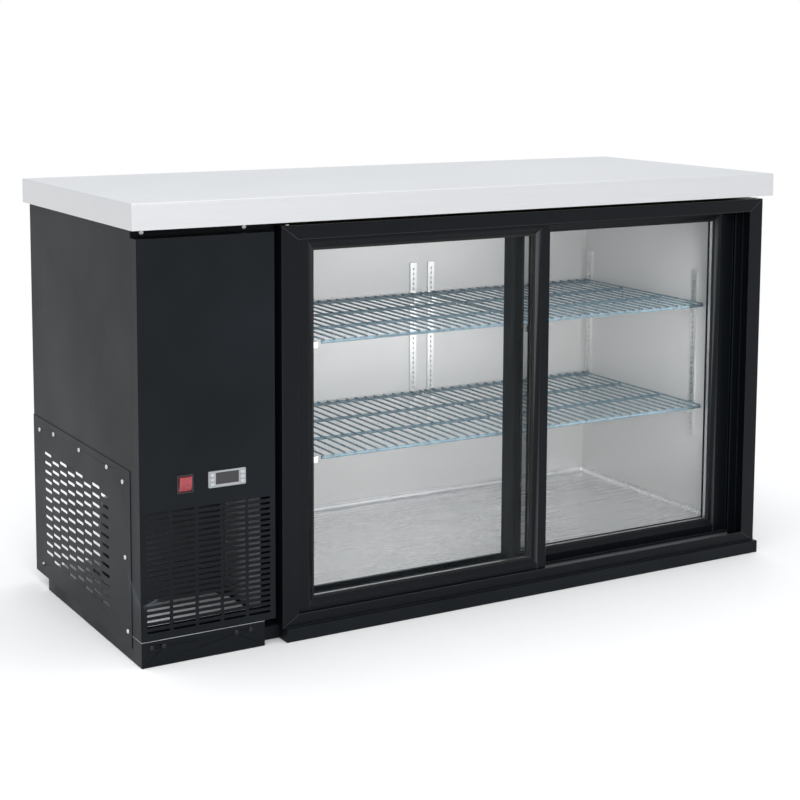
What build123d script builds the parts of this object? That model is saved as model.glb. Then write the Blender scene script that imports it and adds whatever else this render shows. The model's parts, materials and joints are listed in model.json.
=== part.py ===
from build123d import *

# Under counter fridge: a back-bar cooler with two sliding glass doors and a side machine compartment.
# Frame: origin at the bottom centre of the whole object, +X to the right, +Y to the back, +Z up.
# All sizes are millimetres.

import math
import os

# ------------------------------------------------------------------ overall
TOP_W = 1540.0          # worktop, side to side
TOP_D = 630.0           # worktop, front to back
TOP_T = 50.0            # worktop skirt
BODY_H = 830.0          # floor to the underside of the worktop
OVER_SIDE = 15.0        # how far the worktop overhangs each side
OVER_FRONT = 18.0
OVER_REAR = 2.0
SHEET = 1.2             # casing sheet
TOP_SHEET = 1.2         # worktop sheet
TOP_ROUND = 3.0         # rounding of the worktop's corners
TOP_CROWN = 2.4         # and of its top edge
BODY_L = -TOP_W / 2 + OVER_SIDE
BODY_R = TOP_W / 2 - OVER_SIDE
BODY_F = -TOP_D / 2 + OVER_FRONT
BODY_B = TOP_D / 2 - OVER_REAR

# ------------------------------------------------------------------ base
BASE_H = 27.0           # base pan under the cabinet
BASE_PROUD = 10.0       # base pan in front of the door surround
BASE_SIDE = 4.0         # base pan beyond the right side
BASE_STEP = 26.0        # its left end stands back by this much, beside the plinth
PLINTH_H = 50.0         # plinth under the machine compartment
PLINTH_W = 256.0
BASE_SETBACK = 76.0     # the base stands this far in from the rear
BASE_SHEET = 1.5

# ------------------------------------------------------------------ machine compartment
COVER_W = 280.0         # front cover
COVER_D = 31.0
COVER_GAP = 15.0        # dark gap between the cover and the door surround
COVER_LIFT = 1.0        # gap between the cover and the plinth
COVER_BEND = 1.8
HEADER_H = 18.0         # strip left free above the cover
POST_W = 18.0           # uprights of the face frame
HEADER_FRAME_H = 34.0
REAR_OPEN_Z = 290.0     # the rear is open below this height

# front slots
SLOT_L = 46.6
SLOT_H = 4.6
SLOT_BRIDGE = 5.9
SLOT_PITCH_Z = 10.85
SLOT_COLS = 5
SLOT_ROWS = 22
SLOT_Z = 67.5           # lowest row
# side slots, in brick stagger
BRICK_L = 41.5
BRICK_H = 6.0
BRICK_PITCH_Y = 48.0
BRICK_PITCH_Z = 19.6
BRICK_COLS = 8
BRICK_ROWS = 12
BRICK_BACK = 183.0      # centre of the front column, behind the front face of the body
BRICK_FIRST_Z = 74.0
ACCESS_Z0 = 25.0        # slotted access panel on the left side
ACCESS_Z1 = 370.0
ACCESS_F = 46.0         # its front edge, behind the front face of the body
WINDOW_EDGE = 14.0      # margin of the side window round the slot field
WINDOW_TRIM = 5.0       # the same where the window ends near a screw or the base

# ------------------------------------------------------------------ insulated cabinet
WALL_T = 70.0           # side walls
BACK_T = 40.0
CEIL_T = 50.0
FLOOR_T = 43.0
LINER = 0.8
TRAY_H = 15.0           # upstand of the floor tray
TRAY_T = 1.0
TRAY_COVE = 8.0
TRAY_GAP = 0.3
HOLLOW_H = 45.0         # height of the block that hollows the tray

# ------------------------------------------------------------------ door surround
SURROUND_DROP = 8.0     # surround top below the worktop
FLANGE_T = 3.0
FIN_T = 4.0
LIP_T = 5.0
JAMB_FACE = 36.0
HEAD_FACE = 28.0
SILL_FACE = 23.0
JAMB_POCKET = 20.0      # outer track's side wall, in from the outer edge
JAMB_INNER = 38.0       # inner track's side wall
JAMB_FIN = 42.0
HEAD_PLATE = 6.0
HEAD_FIN = 24.0
SILL_PLATE = 6.0
SILL_FIN = 20.0

# ------------------------------------------------------------------ sliding doors
DOOR_T = 30.0
RUN_GAP = 4.0           # door to fin, lip and pocket wall
DOOR_LAP = 67.0         # how far the closed doors overlap
UNDER_GAP = 3.0         # door above the sill's track
LIFT_GAP = 10.0         # door below the head's track, to lift it out
MEET_FLAT = 21.0        # flat of the meeting stile
CLOSE_FLAT = 37.0       # flat of the stile at the jamb
TOP_FLAT = 21.0
BOTTOM_FLAT = 26.0
BEVEL_W = 11.0
BEVEL_D = 7.0
BITE = 9.0              # groove depth for the glass
GLASS_GAP = 1.0         # glass edge to groove bottom
UNIT_D = 9.0            # glass unit behind the door's front face
PANE_T = 4.0
SPACE_T = 8.0           # gap between the panes
SPACER_IN = 2.0         # spacer inside the glass edge
SPACER_W = 9.0
SEAL_W = 5.0            # glazing seal
SEAL_T = 2.0
PULL_RIBS = 4           # ribs of the meeting seal
RIB_W = 2.0
RIB_PITCH = 6.0
RIB_GAP = 0.8           # rib tip to the back of the outer door
RIB_END = 18.0          # ribs end this far from the door's top and bottom

# rollers
ROLLER_R = 9.0
ROLLER_W = 8.0
ROLLER_LIFT = 0.3       # tread above the track
ROLLER_INSET = 80.0     # axle from the door's end
ROLLER_CLEAR = 1.5
PIN_R = 2.5
PIN_FIT = 0.05
PIN_LEN = 22.0
TREAD_EDGE = 1.0

# ------------------------------------------------------------------ interior
EVAP_D = 60.0           # evaporator cover off the left wall
EVAP_FRONT = 39.0       # its front end behind the door surround
EVAP_BACK = 8.0         # its rear end off the back wall
EVAP_Z0 = 150.0
EVAP_TOP_GAP = 10.0
EVAP_SHEET = 1.0
FAN_HOLE_R = 78.0
FAN_Z = 600.0
EVAP_SLOT_RISE = 90.0   # middle of the inlet slots above the cover's bottom
EVAP_SLOT_COLS = 6
EVAP_SLOT_ROWS = 10
EVAP_COIL_D = 30.0      # the coil lies below the fan
EVAP_COIL_INSET = 30.0  # coil short of the cover at each end
EVAP_COIL_DROP = 20.0   # and short of the cover's bottom and the fan
MID_OFF = 48.5          # middle supports right of the cabinet's centre
STRIP_W = 17.0          # slotted standards
STRIP_T = 4.0
STRIP_Z0 = 256.0
STRIP_H = 390.0
STRIP_SLOT_L = 6.0
STRIP_SLOT_W = 3.2
STRIP_PITCH = 12.0
STRIP_SPREAD = 49.0     # the two standards on the back wall, centre to centre
STRIP_FRONT = 56.0      # front standards behind the door surround
STRIP_REAR = 21.0       # rear standards off the back wall
POST = 12.0             # front centre post
POST_BEHIND = 4.0       # post behind the door surround
SHELF_TOPS = {"upper": 575.0, "lower": 336.0}
SHELF_FRONT = 18.0      # shelf behind the door surround
SHELF_BACK = 6.0        # shelf off the back wall
SHELF_END = 6.0         # shelf to wall
SHELF_EVAP = 13.0       # shelf to evaporator cover
SHELF_SPLIT = 8.0       # gap between the left and right shelves
WIRE = 4.2
WIRE_PITCH = 25.0
FRAME_WIRE = 7.0
WELD = 0.6              # how far crossing wires sink into each other
CROSS_RODS = 2
CLIP_W = 14.0
CLIP_D = 16.0
CLIP_H = 14.0
CLIP_GAP = 0.2

# ------------------------------------------------------------------ controls
SWITCH_IN = 91.0        # centre from the left side of the body
SWITCH_Z = 344.5
SWITCH_W = 34.0
SWITCH_H = 36.0
SWITCH_PROUD = 2.0
SWITCH_BODY_D = 24.0
SWITCH_RIM = 2.0
SWITCH_EDGE = 1.2
ROCKER_W = 25.0
ROCKER_R = 14.5
ROCKER_GAP = 0.5
ROCKER_TILT = 10.0
ROCKER_PROUD = 5.0
ROCKER_PIVOT = 1.0      # pivot behind the cover's face
ROCKER_BACK = 7.0
ROCKER_ROOM = 4.0       # space behind the rocker
ROCKER_PIN_OUT = 1.0    # pivot pin into each cheek of the housing
ROCKER_PIN_R = 1.25
CONTROL_IN = 177.0      # centre from the left side of the body
CONTROL_Z = 346.0
CONTROL_W = 78.0
CONTROL_H = 32.0
CONTROL_PROUD = 3.0
CONTROL_BODY_W = 71.0
CONTROL_BODY_H = 28.0
CONTROL_BODY_D = 48.0
SCREEN_W = 48.0
SCREEN_H = 23.0
SCREEN_UP = 1.2         # screen above the bezel's centre
SCREEN_DEEP = 1.0
SCREEN_T = 2.0
KEY_W = 8.5
KEY_H = 6.4
KEY_PITCH = 9.0
KEY_GAP = 0.25
KEY_PROUD = 0.9
KEY_DEPTH = 2.0         # part of a key inside the bezel
KEY_POCKET = 2.8
KEY_CORNER = 1.2
KEY_EDGE = 0.4
BEZEL_CORNER = 2.5
BEZEL_EDGE = 1.0
KEY_OUT = 31.4          # key centre from the controller's centre

# ------------------------------------------------------------------ fasteners
SCREW_R = 4.6
SCREW_T = 2.4
SCREW_DOME = 1.44       # rounding of the head
SHANK_R = 2.0
SHANK_L = 8.0
HOLE_CLEAR = 0.1
CROSS_W = 1.1
CROSS_L = 5.2
CROSS_DEEP = 1.0
# side screws: (behind the front face of the body, height), then (in from the rear, height)
FRONT_SIDE_SCREWS = ((64.0, 54.0), (73.0, 197.0), (82.0, 342.0), (166.0, 352.0))
REAR_SIDE_SCREWS = ((42.0, 344.0), (132.0, 352.0), (288.0, 352.0), (51.0, 50.0))
HEADER_SCREWS = (22.0, 230.0)             # in from the left side of the body
PLINTH_SCREWS = (20.0, 45.0, 195.0, 225.0)
PLINTH_SCREW_Z = 38.0
HEAD_CLIP_INSET = 15.0

# ------------------------------------------------------------------ machinery
COIL_SETBACK = 146.0    # condenser behind the cover's back edge
COND_T = 36.0
COND_W = 226.0
COND_H = 222.0
COND_LIFT = 16.0
TUBE_R = 4.0
FINS = 20
FIN_DEPTH = 3.0
SHROUD_T = 2.0
SHROUD_R = 96.0
SHROUD_RIM = 14.0
BLADE_R = 86.0
BLADE_GAP = 6.0
BLADE_COUNT = 5
BLADE_TILT = 28.0
BLADE_T = 2.0
BLADE_ROOT = 4.0        # blade sunk into the hub
BLADE_CHORD = 38.0
HUB_R = 20.0
HUB_L = 18.0
MOTOR_R = 30.0
MOTOR_L = 46.0
MOTOR_GAP = 6.0
MOTOR_EDGE = 3.0
EVAP_MOTOR_GAP = 2.0
SHAFT_R = 3.0
SHAFT_L = 22.0
SHAFT_FIT = 0.05
COMP_IN = 155.0         # compressor's centre from the left side of the body
COMP_BACK = 173.0       # and in from the rear
COMP_R = 70.0
COMP_H = 150.0
COMP_DOME = 31.0        # rounding of the compressor's top
COMP_LIFT = 14.0
COMP_PLATE_T = 3.0
COMP_PLATE_W = 170.0
COMP_PLATE_D = 120.0
COMP_FOOT_R = 11.0
COMP_FOOT_X = 70.0      # rubber feet from the centre
COMP_FOOT_Y = 46.0
COMP_SEAM_H = 8.0       # weld band round the middle
COMP_SEAM_OUT = 4.0
COMP_BOX_W = 30.0       # terminal box
COMP_BOX_H = 40.0
COMP_BOX_D = 44.0
COMP_BOX_SINK = 8.0
COMP_BOX_RISE = 10.0
COND_FOOT_W = 8.0
COND_FOOT_INSET = 6.0
PEDESTAL_W = 24.0
PEDESTAL_D = 22.0
PEDESTAL_BACK = 12.0    # behind the motor's front
PIPE_R = 4.0
STUB = 20.0             # pipe stubs each side of the compressor's centre
PIPE_BEND = 22.0
PIPE_RISE = 50.0        # liquid and discharge lines pass this far above the machinery
PIPE_STEP = 20.0        # height between neighbouring lines
PIPE_SIDE = 14.0        # discharge line in from the condenser's right side
PIPE_BACK = 80.0        # lines cross to the partition this far in front of the back wall
LIQUID_IN = 40.0        # liquid line left of the condenser's centre
DRIER_START = 40.0      # filter drier behind the fan motor
DRIER_L = 90.0
DRIER_R = 12.0
GLAND_R = 9.0
GLAND_IN = 27.0         # gland from the compartment's left side
GLAND_DROP = 215.0      # and below the worktop
GLAND_FLANGE = 3.0
GLAND_FLANGE_T = 4.0
GRILLE_RISE = 150.0     # middle of the rear slots above the rear opening
EVAP_FAN_SCALE = 0.84   # evaporator blade against the condenser blade

# ------------------------------------------------------------------ derived places
COVER_R = BODY_L + COVER_W
COVER_B = BODY_F + COVER_D
COVER_Z0 = PLINTH_H + COVER_LIFT
COVER_Z1 = BODY_H - HEADER_H
SUR_L = COVER_R + COVER_GAP
SUR_R = BODY_R
SUR_Z0 = BASE_H
SUR_Z1 = BODY_H - SURROUND_DROP
V_FIN = FLANGE_T + RUN_GAP + DOOR_T + RUN_GAP
V_LIP = V_FIN + FIN_T + RUN_GAP + DOOR_T + RUN_GAP
SUR_D = V_LIP + LIP_T
CAB_F = BODY_F + SUR_D
INT_L = SUR_L + WALL_T
INT_R = SUR_R - WALL_T
INT_B = BODY_B - BACK_T
CEIL_Z = BODY_H - CEIL_T
FLOOR_Z = BASE_H + FLOOR_T
TRACK_Z = SUR_Z0 + SILL_PLATE
DOOR_Z0 = TRACK_Z + UNDER_GAP
DOOR_Z1 = SUR_Z1 - HEAD_PLATE - LIFT_GAP
OUTER_X0 = SUR_L + JAMB_POCKET + RUN_GAP
INNER_X1 = SUR_R - JAMB_FIN
DOOR_W = (INNER_X1 - OUTER_X0 + DOOR_LAP) / 2
INNER_X0 = INNER_X1 - DOOR_W
OUTER_Y = BODY_F + FLANGE_T + RUN_GAP
INNER_Y = BODY_F + V_FIN + FIN_T + RUN_GAP
UNIT_T = 2 * PANE_T + SPACE_T
MID_X = (INT_L + INT_R) / 2 + MID_OFF
PLINTH_R = BODY_L + PLINTH_W
ACCESS_Y0 = BODY_F + ACCESS_F
COND_X = (BODY_L + COVER_R) / 2
COND_Y0 = COVER_B + COIL_SETBACK
COND_Z0 = PLINTH_H + COND_LIFT
SHROUD_Y = COND_Y0 + COND_T
FAN_CZ = COND_Z0 + COND_H / 2
COMP_X = BODY_L + COMP_IN
COMP_Y = BODY_B - COMP_BACK
BRICK_FIRST_Y = BODY_F + BRICK_BACK
EVAP_X = INT_L + EVAP_D
EVAP_Y0 = CAB_F + EVAP_FRONT
EVAP_Y1 = INT_B - EVAP_BACK
STRIP_YS = (CAB_F + STRIP_FRONT, INT_B - STRIP_REAR)
SHELF_F = CAB_F + SHELF_FRONT
SHELF_B = INT_B - SHELF_BACK
SWITCH_X = BODY_L + SWITCH_IN
CONTROL_X = BODY_L + CONTROL_IN
SIDE_SCREWS = (
    *((BODY_F + back, z) for back, z in FRONT_SIDE_SCREWS),
    *((BODY_B - ahead, z) for ahead, z in REAR_SIDE_SCREWS),
)
HEADER_SCREWS_X = tuple(BODY_L + inset for inset in HEADER_SCREWS)
HEADER_SCREW_Z = BODY_H - HEADER_H / 2
PLINTH_SCREWS_X = tuple(BODY_L + inset for inset in PLINTH_SCREWS)


# ------------------------------------------------------------------ helpers
def block(x0, x1, y0, y1, z0, z1, mode=Mode.ADD):
    """A rectangular block between two corners, inside the current part."""
    with Locations(((x0 + x1) / 2, (y0 + y1) / 2, (z0 + z1) / 2)):
        Box(x1 - x0, y1 - y0, z1 - z0, mode=mode)


def outline(points):
    """A closed straight-sided face, inside the current sketch."""
    Polygon(*points, align=None)


def rod(start, end, radius, mode=Mode.ADD):
    """A straight round rod between two points, inside the current part."""
    run = Vector(*end) - Vector(*start)
    with Locations(Plane(origin=start, z_dir=run)):
        Cylinder(radius, run.length, align=(Align.CENTER, Align.CENTER, Align.MIN), mode=mode)


def single(x0, x1, y0, y1, z0, z1):
    """A plain block as a solid of its own."""
    with BuildPart() as piece:
        block(x0, x1, y0, y1, z0, z1)
    return piece.part


def save(part, name):
    part.label = name
    export_step(part, f"parts/{name}.step")


def save_group(parts, name):
    """Several separate solids in one node."""
    solids = [solid for part in parts for solid in part.solids()]
    save(Compound(children=solids), name)


# ------------------------------------------------------------------ worktop and base
def worktop():
    half_w, half_d = TOP_W / 2, TOP_D / 2
    top_z = BODY_H + TOP_T
    with BuildPart() as shell:
        block(-half_w, half_w, -half_d, half_d, BODY_H, top_z)
        upright = shell.edges().filter_by(Axis.Z)
        fillet(upright, TOP_ROUND)
        fillet(shell.faces().sort_by(Axis.Z)[-1].edges(), TOP_CROWN)
        block(
            -half_w + TOP_SHEET, half_w - TOP_SHEET, -half_d + TOP_SHEET, half_d - TOP_SHEET,
            BODY_H, top_z - TOP_SHEET, mode=Mode.SUBTRACT,
        )
    save(shell.part, "worktop")
    with BuildPart() as core:
        block(
            -half_w + TOP_SHEET, half_w - TOP_SHEET, -half_d + TOP_SHEET, half_d - TOP_SHEET,
            BODY_H, top_z - TOP_SHEET,
        )
    save(core.part, "worktop_core")


def folded_pan(points, inner_points, height, top_plate):
    """A pan with its open side down: a plate with flanges down to the floor."""
    with BuildPart() as pan:
        with BuildSketch():
            outline(points)
        extrude(amount=height)
        with BuildSketch():
            outline(inner_points)
        extrude(amount=height - BASE_SHEET, mode=Mode.SUBTRACT)
        if top_plate is not None:
            block(*top_plate, height - BASE_SHEET, height)
    return pan.part


def base():
    rear = BODY_B - BASE_SETBACK
    t = BASE_SHEET
    x0, x1, y0 = BODY_L, PLINTH_R, BODY_F
    outer = [(x0, y0), (x1, y0), (x1, rear), (x0, rear)]
    inner = [(x0 + t, y0 + t), (x1 - t, y0 + t), (x1 - t, rear - t), (x0 + t, rear - t)]
    with BuildPart() as plinth:
        add(folded_pan(outer, inner, PLINTH_H, None))
        for x in PLINTH_SCREWS_X:
            rod((x, y0, PLINTH_SCREW_Z), (x, y0 + t, PLINTH_SCREW_Z), SHANK_R + HOLE_CLEAR, Mode.SUBTRACT)
    save(plinth.part, "plinth")

    left, step_x, right = PLINTH_R + 2 * t, SUR_L + 3 * t, SUR_R + BASE_SIDE
    front, step_y = BODY_F - BASE_PROUD, BODY_F + BASE_STEP
    outer = [(left, step_y), (step_x, step_y), (step_x, front), (right, front), (right, rear), (left, rear)]
    inner = [
        (left + t, step_y + t), (step_x + t, step_y + t), (step_x + t, front + t),
        (right - t, front + t), (right - t, rear - t), (left + t, rear - t),
    ]
    ledge = (SUR_L, SUR_R, rear - t, BODY_B)
    save(folded_pan(outer, inner, BASE_H, ledge), "base_pan")


# ------------------------------------------------------------------ insulated cabinet
def cabinet():
    lx, rx, by, cz = INT_L - LINER, INT_R + LINER, INT_B + LINER, CEIL_Z + LINER
    x0, x1, y1 = SUR_L + SHEET, SUR_R - SHEET, BODY_B - SHEET
    slabs = [
        single(x0, x1, by, y1, BASE_H, BODY_H),
        single(x0, x1, CAB_F, by, BASE_H, FLOOR_Z),
        single(x0, x1, CAB_F, by, cz, BODY_H),
        single(rx, x1, CAB_F, by, FLOOR_Z, cz),
        single(x0, lx, CAB_F, by, FLOOR_Z, cz),
    ]
    save_group(slabs, "insulation")
    with BuildPart() as liner:
        block(lx, rx, CAB_F, by, FLOOR_Z, cz)
        block(INT_L, INT_R, CAB_F, INT_B, FLOOR_Z, CEIL_Z, mode=Mode.SUBTRACT)
    save(liner.part, "liner")
    g, t = TRAY_GAP, TRAY_T
    with BuildPart() as hollow:
        block(
            INT_L + g + t, INT_R - g - t, CAB_F - TRAY_H, INT_B - g - t,
            FLOOR_Z + t, FLOOR_Z + HOLLOW_H,
        )
        low = hollow.faces().sort_by(Axis.Z)[0].edges()
        back = hollow.faces().sort_by(Axis.Y)[-1].edges()
        fillet(low + back.filter_by(Axis.Z), TRAY_COVE)
    with BuildPart() as tray:
        block(INT_L + g, INT_R - g, CAB_F, INT_B - g, FLOOR_Z, FLOOR_Z + TRAY_H)
        add(hollow.part, mode=Mode.SUBTRACT)
    save(tray.part, "floor_tray")
    save(single(SUR_R - SHEET, SUR_R, CAB_F, BODY_B, BASE_H, BODY_H), "side_panel_right")
    hidden_panels = [
        single(SUR_L, SUR_R - SHEET, BODY_B - SHEET, BODY_B, BASE_H, BODY_H),
        single(SUR_L, SUR_L + SHEET, CAB_F, BODY_B - SHEET, BASE_H, BODY_H),
    ]
    save_group(hidden_panels, "rear_and_partition_panels")


# ------------------------------------------------------------------ machine compartment casing
def side_casing():
    rear = BODY_B - BASE_SETBACK
    shell_z = PLINTH_H
    field_y0 = BRICK_FIRST_Y - BRICK_L / 2 - WINDOW_EDGE
    field_y1 = BRICK_FIRST_Y + (BRICK_COLS - 1) * BRICK_PITCH_Y + BRICK_L / 2 + WINDOW_TRIM
    field_z0 = BRICK_FIRST_Z - BRICK_H / 2 - WINDOW_TRIM
    field_z1 = BRICK_FIRST_Z + (BRICK_ROWS - 0.5) * BRICK_PITCH_Z + WINDOW_EDGE
    with BuildPart() as panel:
        with BuildSketch(Plane.YZ.offset(BODY_L)):
            outline([
                (COVER_B, shell_z), (rear, shell_z), (rear, ACCESS_Z0), (BODY_B, ACCESS_Z0),
                (BODY_B, BODY_H), (COVER_B, BODY_H),
            ])
        extrude(amount=SHEET)
        block(
            BODY_L, BODY_L + SHEET, field_y0, field_y1, field_z0, field_z1, mode=Mode.SUBTRACT
        )
        for y, z in SIDE_SCREWS:
            rod((BODY_L, y, z), (BODY_L + SHEET, y, z), SHANK_R + HOLE_CLEAR, Mode.SUBTRACT)
    save(panel.part, "side_panel_left")

    with BuildPart() as access:
        block(BODY_L - SHEET, BODY_L, ACCESS_Y0, BODY_B, ACCESS_Z0, ACCESS_Z1)
        with BuildSketch(Plane.YZ.offset(BODY_L - SHEET)):
            for column in range(BRICK_COLS):
                y = BRICK_FIRST_Y + column * BRICK_PITCH_Y
                lift = BRICK_PITCH_Z / 2 if column % 2 else 0.0
                middle = BRICK_FIRST_Z + lift + (BRICK_ROWS - 1) * BRICK_PITCH_Z / 2
                with Locations((y, middle)):
                    with GridLocations(0, BRICK_PITCH_Z, 1, BRICK_ROWS):
                        SlotOverall(BRICK_L, BRICK_H)
        extrude(amount=SHEET, mode=Mode.SUBTRACT)
        for y, z in SIDE_SCREWS:
            rod((BODY_L - SHEET, y, z), (BODY_L, y, z), SHANK_R + HOLE_CLEAR, Mode.SUBTRACT)
    save(access.part, "side_access_panel")


def front_casing():
    left_in = BODY_L + SHEET
    with BuildPart() as frame:
        block(left_in, SUR_L, COVER_B, COVER_B + SHEET, PLINTH_H, BODY_H)
        block(
            left_in + POST_W, SUR_L - POST_W - COVER_GAP, COVER_B, COVER_B + SHEET,
            PLINTH_H + POST_W, BODY_H - HEADER_FRAME_H, mode=Mode.SUBTRACT,
        )
        for x in HEADER_SCREWS_X:
            seat = (x, COVER_B, HEADER_SCREW_Z)
            rod(seat, (x, COVER_B + SHEET, HEADER_SCREW_Z), SHANK_R + HOLE_CLEAR, Mode.SUBTRACT)
    save(frame.part, "face_frame")

    with BuildPart() as cover:
        block(BODY_L, COVER_R, BODY_F, COVER_B, COVER_Z0, COVER_Z1)
        bends = cover.faces().sort_by(Axis.Y)[0].edges().filter_by(Axis.Z)
        fillet(bends, COVER_BEND)
        block(
            BODY_L + SHEET, COVER_R - SHEET, BODY_F + SHEET, COVER_B,
            COVER_Z0 + SHEET, COVER_Z1 - SHEET, mode=Mode.SUBTRACT,
        )
        with BuildSketch(Plane.XZ.offset(-BODY_F)):
            middle_z = SLOT_Z + (SLOT_ROWS - 1) * SLOT_PITCH_Z / 2
            with Locations((COND_X, middle_z)):
                with GridLocations(SLOT_L + SLOT_BRIDGE, SLOT_PITCH_Z, SLOT_COLS, SLOT_ROWS):
                    SlotOverall(SLOT_L, SLOT_H)
            with Locations((SWITCH_X, SWITCH_Z)):
                Rectangle(SWITCH_W - 2 * SWITCH_RIM, SWITCH_H - 2 * SWITCH_RIM)
            with Locations((CONTROL_X, CONTROL_Z)):
                Rectangle(CONTROL_BODY_W, CONTROL_BODY_H)
        extrude(amount=-SHEET, mode=Mode.SUBTRACT)
    save(cover.part, "front_cover")


def rear_casing():
    x0, x1 = BODY_L + SHEET, SUR_L
    inside = BODY_B - SHEET
    gland_x, gland_z = x0 + GLAND_IN, BODY_H - GLAND_DROP
    through = (gland_x, BODY_B, gland_z)
    with BuildPart() as grille:
        block(x0, x1, inside, BODY_B, REAR_OPEN_Z, BODY_H)
        with BuildSketch(Plane.XZ.offset(-inside)):
            with Locations(((x0 + x1) / 2, REAR_OPEN_Z + GRILLE_RISE)):
                with GridLocations(SLOT_L + SLOT_BRIDGE, 2 * SLOT_PITCH_Z, SLOT_COLS, SLOT_ROWS // 2):
                    SlotOverall(SLOT_L, BRICK_H)
        extrude(amount=-SHEET, mode=Mode.SUBTRACT)
        rod((gland_x, inside, gland_z), through, GLAND_R, Mode.SUBTRACT)
    save(grille.part, "rear_grille")
    end = inside - GLAND_FLANGE_T
    with BuildPart() as gland:
        rod((gland_x, end, gland_z), through, GLAND_R)
        rod((gland_x, end, gland_z), (gland_x, inside, gland_z), GLAND_R + GLAND_FLANGE)
        rod((gland_x, end, gland_z), through, GLAND_R / 2, Mode.SUBTRACT)
    save(gland.part, "cord_gland")


# ------------------------------------------------------------------ fasteners
def screw(place, direction, shank):
    """A pan-head screw: its seat at place, its head standing out along direction."""
    seat = Plane(origin=place, z_dir=direction)
    with BuildPart() as piece:
        with BuildSketch(seat):
            Circle(SCREW_R)
        extrude(amount=SCREW_T)
        out = Vector(*direction)
        rim = piece.faces().sort_by(lambda face: (face.center() - Vector(*place)).dot(out))[-1]
        fillet(rim.edges(), SCREW_DOME)
        with BuildSketch(seat.offset(SCREW_T - CROSS_DEEP)):
            Rectangle(CROSS_L, CROSS_W)
            Rectangle(CROSS_W, CROSS_L)
        extrude(amount=CROSS_DEEP, mode=Mode.SUBTRACT)
        if shank:
            with BuildSketch(seat):
                Circle(SHANK_R)
            extrude(amount=-shank)
    return piece.part


def fasteners():
    side_x = BODY_L - SHEET
    screws = [screw((side_x, y, z), (-1, 0, 0), SHANK_L) for y, z in SIDE_SCREWS]
    screws += [
        screw((x, COVER_B, HEADER_SCREW_Z), (0, -1, 0), SHANK_L) for x in HEADER_SCREWS_X
    ]
    screws += [
        screw((x, BODY_F, PLINTH_SCREW_Z), (0, -1, 0), SHANK_L) for x in PLINTH_SCREWS_X
    ]
    for x in (SUR_L + HEAD_CLIP_INSET, SUR_R - HEAD_CLIP_INSET):
        screws.append(screw((x, OUTER_Y, SUR_Z1), (0, 0, 1), 0))
    save_group(screws, "panel_screws")


# ------------------------------------------------------------------ door surround
def jamb(outer_x, inward):
    """An upright of the surround, its front flange cut to the mitres."""
    fin_back = V_FIN + FIN_T
    section = [
        (0, 0), (JAMB_FACE, 0), (JAMB_FACE, FLANGE_T), (JAMB_POCKET, FLANGE_T), (JAMB_POCKET, V_FIN),
        (JAMB_FIN, V_FIN), (JAMB_FIN, fin_back), (JAMB_INNER, fin_back), (JAMB_INNER, V_LIP),
        (WALL_T, V_LIP), (WALL_T, SUR_D), (0, SUR_D),
    ]
    with BuildPart() as piece:
        with BuildSketch(Plane.XY.offset(SUR_Z0)):
            outline([(outer_x + inward * u, BODY_F + v) for u, v in section])
        extrude(amount=SUR_Z1 - SUR_Z0)
        inner_x = outer_x + inward * JAMB_FACE
        for corner_z, step in ((SUR_Z1, -HEAD_FACE), (SUR_Z0, SILL_FACE)):
            with BuildSketch(Plane.XZ.offset(-BODY_F)):
                outline([(outer_x, corner_z), (inner_x, corner_z), (inner_x, corner_z + step)])
            extrude(amount=-FLANGE_T, mode=Mode.SUBTRACT)
    return piece.part


def track_member(outer_z, inward, section, jambs):
    """A level run of one section, fitted between and over the jambs."""
    with BuildPart() as piece:
        with BuildSketch(Plane.YZ.offset(SUR_L)):
            outline([(BODY_F + v, outer_z + inward * u) for u, v in section])
        extrude(amount=SUR_R - SUR_L)
        for cut in jambs:
            add(cut, mode=Mode.SUBTRACT)
    return piece.part


def track(name, outer_z, inward, face, plate, fin, lip, jambs):
    """The head or the sill: front flange, track plate, rear breaker strip and track divider."""
    fin_back = V_FIN + FIN_T
    flange = [(0, 0), (face, 0), (face, FLANGE_T), (0, FLANGE_T)]
    bed = [(0, FLANGE_T), (plate, FLANGE_T), (plate, V_LIP), (0, V_LIP)]
    breaker = [(0, V_LIP), (lip, V_LIP), (lip, SUR_D), (0, SUR_D)]
    divider = [(plate, V_FIN), (fin, V_FIN), (fin, fin_back), (plate, fin_back)]
    sections = (flange, bed, breaker, divider)
    save_group([track_member(outer_z, inward, section, jambs) for section in sections], name)


def surround():
    jambs = jamb(SUR_L, 1), jamb(SUR_R, -1)
    save(jambs[0], "frame_jamb_left")
    save(jambs[1], "frame_jamb_right")
    track("frame_head", SUR_Z1, -1, HEAD_FACE, HEAD_PLATE, HEAD_FIN, SUR_Z1 - CEIL_Z, jambs)
    track("frame_sill", SUR_Z0, 1, SILL_FACE, SILL_PLATE, SILL_FIN, FLOOR_Z - SUR_Z0, jambs)


# ------------------------------------------------------------------ sliding doors
def leaf_profile(flat):
    """Section of a door member: (in from the door's edge, back from its front face)."""
    lip = flat + BEVEL_W
    groove = lip - BITE
    return [
        (0, 0), (flat, 0), (lip, BEVEL_D), (lip, UNIT_D), (groove, UNIT_D),
        (groove, UNIT_D + UNIT_T), (lip, UNIT_D + UNIT_T), (lip, DOOR_T), (0, DOOR_T),
    ]


def stile(x_edge, inward, flat, y0):
    with BuildPart() as piece:
        with BuildSketch(Plane.XY.offset(DOOR_Z0)):
            outline([(x_edge + inward * w, y0 + d) for w, d in leaf_profile(flat)])
        extrude(amount=DOOR_Z1 - DOOR_Z0)
    return piece.part


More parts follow.
